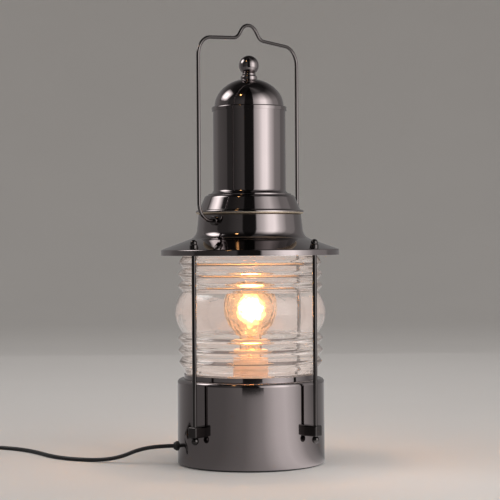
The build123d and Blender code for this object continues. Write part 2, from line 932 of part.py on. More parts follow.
def cord_path(name, points):
    """Straight runs joined by arcs as large as the runs allow."""
    corners = [Vector(*point) for point in points]
    radii = []
    for before, here, after in zip(corners, corners[1:], corners[2:]):
        turn = (here - before).get_angle(after - here)
        shorter = min((here - before).length, (after - here).length)
        radii.append(cord_arc_share * shorter / math.tan(math.radians(turn) / 2))
    path = FilletPolyline(*corners, radius=radii)
    print(name, "length", round(path.length, 1), "radii", [round(radius, 1) for radius in radii])
    return path


def cord_tube(name, points):
    path = cord_path(name, points)
    tube = wire(path, cord_radius)
    print(name, "volume over section times length", tube.volume / (math.pi * cord_radius ** 2 * path.length))
    return tube


def cord_start():
    """Point in the drum wall where the inner lead and the outer run meet."""
    angle = math.radians(cord_exit_angle)
    return (drum_radius * math.cos(angle), drum_radius * math.sin(angle), cord_exit_height)


def inner_lead():
    """Lead inside the drum, from the grommet to the underside of the holder."""
    end_z = holder_top_z - holder_height + holder_ring_height - seat_gap
    path = FilletPolyline(
        cord_start(), (0, 0, cord_exit_height), (0, 0, end_z), radius=[inner_lead_sweep]
    )
    return wire(path, cord_radius)


def cord_run():
    return cord_tube("cord_run", [cord_start(), *cord_run_points])


def switch_direction():
    """Way the cord enters the switch."""
    return (Vector(*cord_run_points[-1]) - Vector(*cord_run_points[-2])).normalized()


def switch_middle():
    half_cord = switch_case_length / 2 + switch_nose_length - switch_cord_depth
    return Vector(*cord_run_points[-1]) + switch_direction() * half_cord


def switch_place():
    """Frame of the switch: X along the cord, Z up from the table."""
    middle = switch_middle()
    return Plane(origin=(middle.X, middle.Y, 0), x_dir=switch_direction(), z_dir=(0, 0, 1))


def cord_link():
    half_cord = switch_case_length / 2 + switch_nose_length - switch_cord_depth
    start = switch_middle() + switch_direction() * half_cord
    straight = start + switch_direction() * cord_radius * 2 * cord_straight_share
    return cord_tube("cord_link", [start, straight, *cord_link_points])


# Coil

def coil_place():
    """Frame of the coil: the cord comes in along -Y at X = -coil_outer_radius."""
    end = Vector(*cord_link_points[-1])
    heading = (end - Vector(*cord_link_points[-2])).normalized()
    across = Vector(0, 0, 1).cross(heading)
    middle = end + heading * 2 * cord_radius + across * coil_outer_radius
    return Plane(origin=middle, x_dir=across, z_dir=(0, 0, 1))


def coil_reaches():
    """Distance from the coil's middle at each half turn: in below, tucked under the climb, and out above."""
    step = coil_turn_pitch / 2
    inward = [coil_outer_radius - step * turn for turn in range(coil_half_turns + 1)]
    tucked = inward[-1] - coil_turn_pitch * coil_tuck_share
    first_out = inward[-1] + coil_turn_pitch * coil_return_share
    outward = [first_out + step * turn for turn in range(coil_half_turns)]
    return [*inward, tucked, *outward]


def coil_path():
    lead = 2 * cord_radius
    points = []
    for turn, reach in enumerate(coil_reaches()):
        side = -1 if turn % 2 == 0 else 1
        level = 0 if turn <= coil_half_turns else coil_turn_pitch
        points.append(Vector(side * reach, 0, level))
    edges = [Line(points[0] + Vector(0, lead, 0), points[0])]
    for turn, (here, there) in enumerate(zip(points, points[1:])):
        swing = -1 if turn % 2 == 0 else 1
        crest = (here + there) * (1 / 2) + Vector(0, swing * (there - here).length / 2, 0)
        edges.append(ThreePointArc(here, crest, there))
    edges.append(Line(points[-1], points[-1] + Vector(0, lead, 0)))
    return edges


def print_coil_gap(edges):
    """Least gap of the coiled tube to itself, measured on points along its middle."""
    samples = []
    for number, edge in enumerate(edges):
        for place in range(coil_sample_count):
            samples.append((number, edge @ (place / coil_sample_count)))
    least = min(
        (here - there).length
        for index, (number, here) in enumerate(samples)
        for other, there in samples[index + 1:]
        if other - number > 1
    )
    length = sum(edge.length for edge in edges)
    print("cord_coil length", round(length, 1), "least gap", round(least - 2 * cord_radius, 2))


def cord_coil():
    edges = coil_path()
    print_coil_gap(edges)
    path = Wire([edge.edge() for edge in edges])
    return coil_place() * wire(path, cord_radius)


def coil_tie():
    """Strap round the bundle on the side of the coil away from its ends."""
    reaches = coil_reaches()
    low_reach = min(reaches) - cord_radius - tie_strap_side_gap
    high_reach = max(reaches) + cord_radius + tie_strap_gap
    low_z = -cord_radius - tie_strap_gap
    high_z = coil_turn_pitch + cord_radius + tie_strap_gap
    middle = Pos(-(low_reach + high_reach) / 2, (low_z + high_z) / 2)
    width = high_reach - low_reach
    height = high_z - low_z
    rim = 2 * tie_strap_thickness
    band = middle * RectangleRounded(width + rim, height + rim, cord_radius + tie_strap_thickness)
    band -= middle * RectangleRounded(width, height, cord_radius)
    section = Plane.YZ.offset(-tie_strap_width / 2)
    return coil_place() * extrude(section * band, tie_strap_width)


def cord_tail():
    last = coil_path()[-1]
    place = coil_place()
    start = place.from_local_coords(last @ 1)
    straight = place.from_local_coords(last @ 1 + (last % 1) * cord_radius * 2 * cord_straight_share)
    return cord_tube("cord_tail", [start, straight, *cord_tail_points])


# Inline switch

def switch_case():
    """Outside of the switch with its cord noses, hollow, before it is parted in two shells."""
    middle_z = switch_height / 2
    case = extrude(SlotOverall(switch_case_length, switch_width), switch_height)
    rims = [*case.faces().sort_by(Axis.Z)[-1].edges(), *case.faces().sort_by(Axis.Z)[0].edges()]
    case = fillet(rims, switch_round)
    nose_length = switch_nose_length + switch_wall
    nose = Cone(
        switch_nose_root_radius, switch_nose_tip_radius, nose_length,
        align=(Align.CENTER, Align.CENTER, Align.MIN),
    )
    nose = Pos(switch_case_length / 2 - switch_wall, 0, middle_z) * Rot(0, 90, 0) * nose
    case = case + nose + Rot(0, 0, 180) * nose
    cavity = extrude(
        Plane.XY.offset(switch_wall)
        * SlotOverall(switch_case_length - 2 * switch_wall, switch_width - 2 * switch_wall),
        switch_height - 2 * switch_wall,
    )
    bore_reach = switch_case_length / 2 + switch_nose_length + overrun
    bore = Pos(0, 0, middle_z) * lying(cord_radius + cord_gap, -bore_reach, bore_reach)
    return case - cavity - bore


def switch_lower_shell():
    return split(switch_case(), Plane.XY.offset(switch_height / 2), keep=Keep.BOTTOM)


def switch_upper_shell():
    """Upper half with the rocker's window and the seats of its pin."""
    shell = split(switch_case(), Plane.XY.offset(switch_height / 2), keep=Keep.TOP)
    roof_rise = switch_height - switch_wall - rocker_pivot_height
    window_half = math.sqrt(rocker_radius ** 2 - roof_rise ** 2) + rocker_gap
    window = Box(2 * window_half, rocker_width + 2 * rocker_gap, switch_height)
    return shell - Pos(0, 0, switch_height) * window - switch_pin_body(switch_pin_radius + seat_gap)


def switch_pin_body(radius):
    half = switch_width / 2 - switch_wall + switch_pin_seat
    return Pos(0, 0, rocker_pivot_height) * Rot(0, 0, 90) * lying(radius, -half, half)


def switch_rocker():
    """Rocker: a slice of a disc about its pin with a shallow valley on top, tipped to its on stop."""
    slice_body = Rot(90, 0, 0) * Cylinder(rocker_radius, rocker_width)
    below = Pos(0, 0, -rocker_below_pivot) * Box(
        2 * rocker_radius, 2 * rocker_width, rocker_radius, align=(Align.CENTER, Align.CENTER, Align.MAX)
    )
    wing = Box(2 * rocker_radius, 2 * rocker_width, rocker_radius, align=(Align.MIN, Align.CENTER, Align.MIN))
    wing = Pos(0, 0, rocker_valley_rise) * Rot(0, -rocker_slope_angle, 0) * wing
    slice_body = slice_body - below - wing - Rot(0, 0, 180) * wing
    bore = Rot(0, 0, 90) * lying(switch_pin_radius + running_gap, -rocker_width, rocker_width)
    return Pos(0, 0, rocker_pivot_height) * Rot(0, rocker_tilt_angle, 0) * (slice_body - bore)


# Plug

def plug_place():
    """Frame of the plug: X along the cord towards the pins."""
    end = Vector(*cord_tail_points[-1])
    heading = end - Vector(*cord_tail_points[-2])
    flat = Vector(heading.X, heading.Y, 0).normalized()
    return Plane(origin=(end.X, end.Y, 0), x_dir=flat, z_dir=(0, 0, 1))


def plug_face_x():
    return plug_boot_length + plug_taper_length + plug_face_length - plug_cord_depth


def plug_pin_pair(radius, start, end):
    pair = []
    for side in (-1, 1):
        pin = lying(radius, start, end)
        pair.append(Pos(0, side * plug_pin_spacing / 2, plug_face_height / 2) * pin)
    return pair


def plug_body():
    """Flat two-pin plug: a boot, a flaring grip and a straight face."""
    middle_z = plug_face_height / 2
    boot = Cone(
        plug_boot_tip_radius, plug_boot_root_radius, plug_boot_length,
        align=(Align.CENTER, Align.CENTER, Align.MIN),
    )
    start_x = -plug_cord_depth
    body = Pos(start_x, 0, middle_z) * Rot(0, 90, 0) * boot
    section = Plane.YZ.offset(start_x + plug_boot_length)
    outline = RectangleRounded(plug_shoulder_width, plug_shoulder_height, plug_round)
    shoulder = section * Pos(0, middle_z) * outline
    section = Plane.YZ.offset(start_x + plug_boot_length + plug_taper_length)
    face = section * Pos(0, middle_z) * RectangleRounded(plug_face_width, plug_face_height, plug_round)
    body += loft([shoulder, face])
    body += extrude(face, plug_face_length)
    body -= Pos(0, 0, middle_z) * lying(cord_radius + cord_gap, start_x - overrun, 0)
    face_x = plug_face_x()
    for hole in plug_pin_pair(plug_pin_radius + seat_gap, face_x - plug_pin_seat, face_x + overrun):
        body -= hole
    return plug_place() * body


def plug_pins():
    end_x = plug_face_x() + plug_pin_length
    pins = []
    for pin in plug_pin_pair(plug_pin_radius, plug_face_x() - plug_pin_seat, end_x):
        pins.append(plug_place() * fillet(pin.faces().sort_by(Axis.X)[-1].edges(), plug_pin_round))
    return group(pins)


# All the pieces

save("felt_pad", felt_pad())
save("base_plate", base_plate())
save("plate_screws", plate_screws())
save("plate_lugs", plate_lugs())
save("base_drum", base_drum())
save("cord_grommet", cord_grommet())
save("bracket_screws", group(around(rod_count, bracket_screw())))
save("lens_gallery", lens_gallery())
save("lens_seat_gasket", lens_gasket(lens_foot_radius, gallery_seat_z))
save("fresnel_lens", fresnel_lens())
save("lens_top_gasket", lens_gasket(lens_neck_radius, lens_top_z))
save("lens_clamp_ring", lens_clamp_ring())
save("hood", hood())
save("shoulder_cap", shoulder_cap())
save("chimney_tube", chimney_tube())
save("chimney_top_ring", chimney_top_ring())
save("dome_cap", dome_cap())
save("finial", finial())
save("tie_rod", tie_rod())
save("bridge_bar", bridge_bar())
save("bridge_nut", bridge_nut())
for number, rod in enumerate(around(rod_count, cage_rod()), 1):
    save(f"cage_rod_{number}", rod)
for number, bracket in enumerate(around(rod_count, rod_bracket()), 1):
    save(f"rod_bracket_{number}", bracket)
save("rod_ball_nuts", group(around(rod_count, ball_nut())))
save("rod_cap_nuts", group(around(rod_count, acorn_nut())))
save("rod_lock_nuts", group(around(rod_count, lock_nut())))
save("bail", bail())
for name, turn in (("bail_bush_right", 0), ("bail_bush_left", 180)):
    save(name, Rot(0, 0, turn) * bail_bush())
save("lamp_holder_body", lamp_holder_body())
save("lamp_holder_upper_ring", lamp_holder_ring(deck_z))
save("lamp_holder_lower_ring", lamp_holder_ring(deck_z - sheet_wall - holder_ring_height))
save("lamp_holder_shell", lamp_holder_shell())
save("lamp_holder_contact", lamp_holder_contact())
save("bulb_contact", bulb_contact())
save("bulb_insulator", bulb_insulator())
save("bulb_cap", bulb_cap())
save("bulb_glass", bulb_glass())
save("bulb_stem", bulb_stem())
save("bulb_filament", bulb_filament())
save("filament_wires", filament_wires())
save("inner_lead", inner_lead())
save("cord_run", cord_run())
save("switch_lower_shell", switch_place() * switch_lower_shell())
save("switch_upper_shell", switch_place() * switch_upper_shell())
save("switch_rocker", switch_place() * switch_rocker())
save("switch_pin", switch_place() * switch_pin_body(switch_pin_radius))
save("cord_link", cord_link())
save("cord_coil", cord_coil())
save("coil_tie", coil_tie())
save("cord_tail", cord_tail())
save("plug_body", plug_body())
save("plug_pins", plug_pins())
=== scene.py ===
import json
import math

import bmesh
import bpy
from mathutils import Matrix, Vector


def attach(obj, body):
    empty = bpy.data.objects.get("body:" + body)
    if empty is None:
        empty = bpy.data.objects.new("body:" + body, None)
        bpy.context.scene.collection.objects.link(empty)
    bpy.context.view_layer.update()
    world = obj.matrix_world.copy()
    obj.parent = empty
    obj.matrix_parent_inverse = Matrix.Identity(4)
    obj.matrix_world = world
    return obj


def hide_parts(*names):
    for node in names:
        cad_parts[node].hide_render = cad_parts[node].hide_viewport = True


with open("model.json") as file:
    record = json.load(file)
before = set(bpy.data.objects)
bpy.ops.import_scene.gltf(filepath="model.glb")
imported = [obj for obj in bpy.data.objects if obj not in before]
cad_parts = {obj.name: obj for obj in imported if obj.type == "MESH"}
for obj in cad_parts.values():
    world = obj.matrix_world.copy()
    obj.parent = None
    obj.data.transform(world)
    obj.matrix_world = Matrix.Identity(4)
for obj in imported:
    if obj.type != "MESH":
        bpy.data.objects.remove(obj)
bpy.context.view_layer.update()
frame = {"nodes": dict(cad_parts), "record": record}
nodes = frame["nodes"]
scene = bpy.context.scene

# A ship-lantern table lamp: metres, +Z up, origin under the middle of the base.
# Sizes of the lamp and the floor are in millimetres, brought to metres by MM.
# Places and sizes of the camera and the lights are in metres.
MM = 0.001


# Node trees

class Value:
    """A socket that can be used in Python sums."""

    def __init__(self, tree, socket):
        self.tree = tree
        self.socket = socket

    def sum(self, operation, first, second=None):
        """One step of arithmetic on one or two values."""
        values = [first] if second is None else [first, second]
        return self.tree.node(self.tree.maths, {"operation": operation}, dict(enumerate(values)))

    def __add__(self, other):
        return self.sum("ADD", self, other)

    def __radd__(self, other):
        return self.sum("ADD", other, self)

    def __sub__(self, other):
        return self.sum("SUBTRACT", self, other)

    def __rsub__(self, other):
        return self.sum("SUBTRACT", other, self)

    def __mul__(self, other):
        return self.sum("MULTIPLY", self, other)

    def __rmul__(self, other):
        return self.sum("MULTIPLY", other, self)

    def __truediv__(self, other):
        return self.sum("DIVIDE", self, other)

    def __pow__(self, other):
        return self.sum("POWER", self, other)

    def __abs__(self):
        return self.sum("ABSOLUTE", self)

    def least(self, other):
        return self.sum("MINIMUM", self, other)

    def most(self, other):
        return self.sum("MAXIMUM", self, other)

    def share(self):
        """The value held between 0 and 1."""
        return self.most(0.0).least(1.0)

    def sine(self):
        return self.sum("SINE", self)

    def cosine(self):
        return self.sum("COSINE", self)


class Tree:
    """A shader or geometry node tree that is written as Python."""

    maths = "ShaderNodeMath"

    def __init__(self, tree):
        self.tree = tree

    def node(self, kind, settings=None, inputs=None, out=0):
        """Add a node, set it up, feed its sockets with numbers, colours or values, and give one output."""
        made = self.tree.nodes.new(kind)
        for name, setting in (settings or {}).items():
            if name == "stops":
                self.stops(made.color_ramp, setting)
            else:
                setattr(made, name, setting)
        for name, given in (inputs or {}).items():
            socket = made.inputs[name]
            for one in given if isinstance(given, list) else [given]:
                if isinstance(one, Value):
                    self.tree.links.new(one.socket, socket)
                else:
                    socket.default_value = one
        return Value(self, made.outputs[out])

    def stops(self, ramp, stops):
        """Set the stops of a colour ramp."""
        while len(ramp.elements) < len(stops):
            ramp.elements.new(0.5)
        for element, (place, shade) in zip(ramp.elements, stops):
            element.position = place
            element.color = (*shade, 1)

    def parts(self, vector):
        """The three numbers of a vector."""
        split = self.node("ShaderNodeSeparateXYZ", {}, {"Vector": vector})
        return [Value(self, socket) for socket in split.socket.node.outputs]


class Finish(Tree):
    """One material: a principled shader and the nodes that vary it over the surface."""

    def __init__(self, name, constants):
        self.material = bpy.data.materials.new(name)
        self.material.use_nodes = True
        super().__init__(self.material.node_tree)
        self.shader = self.tree.nodes["Principled BSDF"]
        for socket, value in constants.items():
            self.shader.inputs[socket].default_value = value
        self.place = self.node("ShaderNodeTexCoord", out="Object")

    def feed(self, socket, value):
        self.tree.links.new(value.socket, self.shader.inputs[socket])

    def noise(self, scale, detail=2.0, stretch=None, roughness=0.5):
        """Noise on the piece's own coordinates, stretched along any axis."""
        place = self.place
        if stretch:
            place = self.node("ShaderNodeMapping", {}, {"Vector": place, "Scale": stretch})
        inputs = {"Vector": place, "Scale": scale, "Detail": detail, "Roughness": roughness}
        return self.node("ShaderNodeTexNoise", {}, inputs, out=0)

    def blend(self, share, first, second):
        """A colour between two colours."""
        inputs = {0: share, 6: first, 7: second}
        return self.node("ShaderNodeMix", {"data_type": "RGBA"}, inputs, out=2)

    def ramp(self, share, *stops):
        return self.node("ShaderNodeValToRGB", {"stops": stops}, {"Fac": share})

    def bump(self, height, strength, distance):
        inputs = {"Height": height, "Strength": strength, "Distance": distance}
        self.feed("Normal", self.node("ShaderNodeBump", {}, inputs))


def shade(red, green, blue):
    return (red, green, blue, 1)


unlit = shade(0.0, 0.0, 0.0)


# Finishes

def inside_of_hood(finish):
    """A mask for the faces above the bulb that look inwards or down, within the lens's width."""
    widest = 79.0 * MM
    edge_steepness = 800.0
    tilt_steepness = 6.0
    least_tilt = 0.6
    x, y, _ = finish.parts(finish.place)
    across, along, upward = finish.parts(finish.node("ShaderNodeNewGeometry", out="True Normal"))
    reach = (x * x + y * y) ** 0.5
    inward = (x * across + y * along) / reach * -1.0
    looking = (inward.most(upward * -1.0) * tilt_steepness - least_tilt).share()
    return looking * ((widest - reach) * edge_steepness).share()


def black_nickel(name, dark, light, roughness, spun, with_lamplit_lining=False):
    """Polished black nickel: a dark mirror with faint spinning lines, wiping haze and specks."""
    finish = Finish(name, {"Metallic": 1.0, "IOR": 1.5})
    haze = finish.noise(scale=14.0, detail=3.0)
    lines = finish.noise(scale=9.0, detail=2.0, stretch=(2.0, 2.0, 160.0) if spun else (90.0, 90.0, 4.0))
    specks = finish.noise(scale=900.0, detail=1.0)
    colour = finish.blend(haze, dark, light)
    rough = roughness + 0.035 * haze + 0.02 * lines
    if with_lamplit_lining:
        # the bare inside of the hood: lighter, rougher metal, with a warm tint that is painted amber light
        # from the bulb
        bare_and_lamplit = inside_of_hood(finish)
        colour = finish.blend(bare_and_lamplit, colour, shade(0.80, 0.68, 0.52))
        rough = rough + bare_and_lamplit * 0.42
    finish.feed("Base Color", colour)
    finish.feed("Roughness", rough)
    finish.bump(lines * 0.7 + specks * 0.3, strength=0.01, distance=0.0003)
    return finish.material


def worn_metal(name, dark, light, scale, detail, rough, vary, stretch=None):
    """Plated or bare metal with two tones and an uneven shine."""
    finish = Finish(name, {"Metallic": 1.0})
    wear = finish.noise(scale, detail, stretch)
    finish.feed("Base Color", finish.blend(wear, dark, light))
    finish.feed("Roughness", rough + vary * wear)
    return finish.material


def clear_glass(name, index, glow):
    """The start of a clear glass with a little painted glow, standing in for stray lamp light caught in the
    glass.
    """
    return Finish(name, {"Transmission Weight": 1.0, "IOR": index, "Emission Strength": glow})


def pressed_glass():
    """Thick clear glass with a faint warm tint, a slightly wavy fire-polished skin and a painted warm glow
    for the bulb's light.
    """
    finish = clear_glass("pressed_lens_glass", 1.5, 0.032)
    wave = finish.noise(scale=46.0, detail=2.0, stretch=(1.0, 1.0, 2.2))
    seeds = finish.noise(scale=380.0, detail=1.0)
    finish.feed("Base Color", finish.blend(wave, shade(0.985, 0.965, 0.955), shade(0.995, 0.985, 0.98)))
    # painted glow: warm emission colour across the lens, standing in for the bulb's light caught in the
    # glass
    finish.feed("Emission Color", finish.blend(wave, shade(1.0, 0.78, 0.66), shade(1.0, 0.88, 0.80)))
    finish.feed("Roughness", 0.012 + 0.03 * wave)
    finish.bump(wave * 0.9 + seeds * 0.1, strength=0.10, distance=0.0010)
    return finish.material


def blown_glass():
    """Thin blown glass, rippled on the outside, with a painted amber glow for the filament's light inside.
    """
    skin_steepness = 4000.0
    finish = clear_glass("blown_bulb_glass", 1.48, 0.03)
    wave = finish.noise(scale=40.0, detail=2.0)
    ripple = finish.noise(scale=95.0, detail=1.0)
    x, y, _ = finish.parts(finish.place)
    across, along, _ = finish.parts(finish.node("ShaderNodeNewGeometry", out="True Normal"))
    outer_skin = ((x * across + y * along) * skin_steepness).share()
    # painted glow: amber emission colour on the bulb glass, for the filament's light
    finish.feed("Emission Color", finish.blend(wave, shade(1.0, 0.40, 0.10), shade(1.0, 0.48, 0.16)))
    finish.feed("Base Color", finish.blend(wave, shade(0.98, 0.85, 0.72), shade(1.0, 0.89, 0.77)))
    finish.feed("Roughness", 0.10 + 0.04 * wave)
    finish.bump(ripple * outer_skin, strength=1.0, distance=0.0075)
    return finish.material


def glowing_wire():
    """Hot tungsten that glows a little unevenly."""
    finish = Finish("hot_tungsten", {"Base Color": shade(0.3, 0.25, 0.2), "Emission Strength": 60.0})
    heat = finish.noise(scale=120.0, detail=1.0)
    finish.feed("Emission Color", finish.blend(heat, shade(1.0, 0.50, 0.16), shade(1.0, 0.60, 0.24)))
    return finish.material


def felt():
    """Pressed wool felt: matted short fibres."""
    finish = Finish("pressed_felt", {"Sheen Weight": 0.5, "Sheen Roughness": 0.6})
    mat = finish.noise(scale=900.0, detail=6.0, roughness=0.7)
    fibre = finish.noise(scale=260.0, detail=4.0, stretch=(1.0, 6.0, 1.0))
    finish.feed("Base Color", finish.blend(mat, shade(0.012, 0.012, 0.013), shade(0.05, 0.05, 0.052)))
    finish.feed("Roughness", 0.85 + 0.15 * fibre)
    finish.bump(mat * 0.6 + fibre * 0.4, strength=0.6, distance=0.0006)
    return finish.material


def rubber():
    """Moulded black rubber with a grey bloom."""
    finish = Finish("gasket_rubber", {})
    bloom = finish.noise(scale=70.0, detail=4.0)
    grain = finish.noise(scale=1800.0, detail=2.0)
    finish.feed("Base Color", finish.blend(bloom, shade(0.014, 0.014, 0.015), shade(0.038, 0.037, 0.036)))
    finish.feed("Roughness", 0.52 + 0.2 * bloom)
    finish.bump(grain, strength=0.15, distance=0.0002)
    return finish.material


def thermoset():
    """Moulded cream holder with a soft sheen, faint swirls of filler and a painted orange glow, stronger
    towards the top, for the bulb's light shining through it.
    """
    glow_foot = 86.0 * MM
    glow_height = 38.0 * MM
    constants = {"Coat Weight": 0.2, "Coat Roughness": 0.2, "Emission Strength": 0.25}
    finish = Finish("moulded_holder", constants)
    swirl = finish.noise(scale=60.0, detail=5.0)
    finish.feed("Base Color", finish.blend(swirl, shade(0.66, 0.56, 0.45), shade(0.76, 0.66, 0.54)))
    finish.feed("Roughness", 0.22 + 0.15 * swirl)
    # painted glow: orange emission rising up the holder towards the bulb
    height = finish.parts(finish.place)[2]
    glow = ((height - glow_foot) / glow_height).share()
    finish.feed("Emission Color", finish.blend(glow, unlit, shade(1.0, 0.30, 0.06)))
    return finish.material


def black_glass():
    finish = Finish("insulator_glass", {"Coat Weight": 0.4})
    swirl = finish.noise(scale=220.0, detail=3.0)
    finish.feed("Base Color", finish.blend(swirl, shade(0.010, 0.008, 0.014), shade(0.03, 0.025, 0.04)))
    finish.feed("Roughness", 0.12 + 0.1 * swirl)
    return finish.material


def sheath():
    """Satin black cord sheath with a drawn, slightly dusty skin."""
    finish = Finish("cord_skin", {"Specular IOR Level": 0.45})
    dust = finish.noise(scale=45.0, detail=4.0)
    skin = finish.noise(scale=2600.0, detail=2.0)
    finish.feed("Base Color", finish.blend(dust, shade(0.008, 0.008, 0.009), shade(0.022, 0.021, 0.021)))
    finish.feed("Roughness", 0.34 + 0.18 * dust)
    finish.bump(skin, strength=0.12, distance=0.00015)
    return finish.material


def moulded(name, dark, light, roughness):
    """Moulded plastic with a spark-eroded grain."""
    finish = Finish(name, {"Specular IOR Level": 0.5})
    grain = finish.noise(scale=3200.0, detail=2.0)
    cloud = finish.noise(scale=90.0, detail=3.0)
    finish.feed("Base Color", finish.blend(cloud, dark, light))
    finish.feed("Roughness", roughness + 0.12 * cloud)
    finish.bump(grain, strength=0.22, distance=0.0002)
    return finish.material


spun_tones = (shade(0.225, 0.200, 0.200), shade(0.285, 0.252, 0.252))
wire_tones = (shade(0.050, 0.046, 0.045), shade(0.090, 0.082, 0.080))
spun_nickel = black_nickel("spun_black_nickel", *spun_tones, 0.028, spun=True)
lamplit_lined_nickel = black_nickel("lamplit_lined_black_nickel", *spun_tones, 0.028, spun=True, with_lamplit_lining=True)
drawn_nickel = black_nickel("drawn_black_nickel", *wire_tones, 0.05, spun=False)
bail_tones = (shade(0.13, 0.118, 0.116), shade(0.18, 0.164, 0.160))
bail_nickel = black_nickel("bail_black_nickel", *bail_tones, 0.05, spun=False)
zinc_plate = worn_metal(
    "bright_zinc", shade(0.50, 0.51, 0.53), shade(0.68, 0.68, 0.67),
    scale=160.0, detail=2.0, rough=0.24, vary=0.16,
)
lens_glass = pressed_glass()
bulb_glass = blown_glass()
hot_wire = glowing_wire()
cool_wire = worn_metal(
    "support_wire", shade(0.42, 0.37, 0.31), shade(0.62, 0.57, 0.50),
    scale=300.0, detail=2.0, rough=0.25, vary=0.2,
)
base_felt = felt()
gasket_rubber = rubber()
holder_plastic = thermoset()
contact_brass = worn_metal(
    "plain_brass", shade(0.42, 0.28, 0.10), shade(0.78, 0.58, 0.28),
    scale=120.0, detail=4.0, rough=0.18, vary=0.25,
)
cap_tin = worn_metal(
    "pressed_bulb_cap", shade(0.62, 0.61, 0.58), shade(0.80, 0.79, 0.76),
    scale=60.0, detail=2.0, rough=0.2, vary=0.15, stretch=(1.0, 1.0, 20.0),
)
tip_glass = black_glass()
cord_skin = sheath()
switch_plastic = moulded("switch_plastic", shade(0.010, 0.010, 0.011), shade(0.022, 0.022, 0.023), 0.42)
rocker_plastic = moulded("rocker_plastic", shade(0.012, 0.012, 0.013), shade(0.024, 0.024, 0.025), 0.2)
pin_plate = worn_metal(
    "plated_pins", shade(0.58, 0.57, 0.54), shade(0.76, 0.75, 0.72),
    scale=240.0, detail=3.0, rough=0.14, vary=0.2,
)

finish_of_slot = {
    "black_nickel": spun_nickel,
    "zinc_steel": zinc_plate,
    "lens_glass": lens_glass,
    "bulb_clear_glass": bulb_glass,
    "felt": base_felt,
    "gasket_rubber": gasket_rubber,
    "holder_plastic": holder_plastic,
    "brass": contact_brass,
    "bulb_cap_metal": cap_tin,
    "bulb_insulator_glass": tip_glass,
    "filament_metal": cool_wire,
    "cord_sheath": cord_skin,
    "switch_plastic": switch_plastic,
    "rocker_plastic": rocker_plastic,
    "pin_metal": pin_plate,
}
for subpart in frame["record"]["subparts"]:
    slots = nodes[subpart["node"]].data.materials
    slots.clear()
    slots.append(finish_of_slot[subpart["material_slot"]])
for name in nodes:
    if name.startswith(("cage_rod", "rod_")):
        nodes[name].data.materials[0] = drawn_nickel
    if name.startswith("bail"):
        nodes[name].data.materials[0] = bail_nickel
# hood and shoulder cap: bare metal inside, with a painted amber tint for the bulb's light
for name in ("hood", "shoulder_cap"):
    nodes[name].data.materials[0] = lamplit_lined_nickel


# Pieces

weld = 1e-7


def placed(name, data):
    """A new object in the scene."""
    piece = bpy.data.objects.new(name, data)
    scene.collection.objects.link(piece)
    return piece


def mesh_of(name, work):
    """The mesh of finished work."""
    mesh = bpy.data.meshes.new(name)
    work.to_mesh(mesh)
    work.free()
    return mesh


def turned(outline, steps, closed):
    """Work turned about Z from an outline of (radius, height) in millimetres."""
    work = bmesh.new()
    rings = []
    for number in range(steps):
        angle = math.tau * number / steps
        rings.append([
            work.verts.new((r * math.cos(angle) * MM, r * math.sin(angle) * MM, z * MM)) for r, z in outline
        ])
    count = len(outline)
    for number, ring in enumerate(rings):
        beside = rings[(number + 1) % steps]
        for place in range(count if closed else count - 1):
            after = (place + 1) % count
            work.faces.new((ring[place], beside[place], beside[after], ring[after]))
    bmesh.ops.remove_doubles(work, verts=work.verts, dist=weld)
    return work


def add(name, mesh, finish, body, slot, *replaced):
    """A finished piece that rides on a body and stands for some of the solids."""
    piece = placed(name, mesh)
    mesh.materials.clear()
    mesh.materials.append(finish)
    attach(piece, body)
    if replaced:
        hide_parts(*replaced)
    return piece


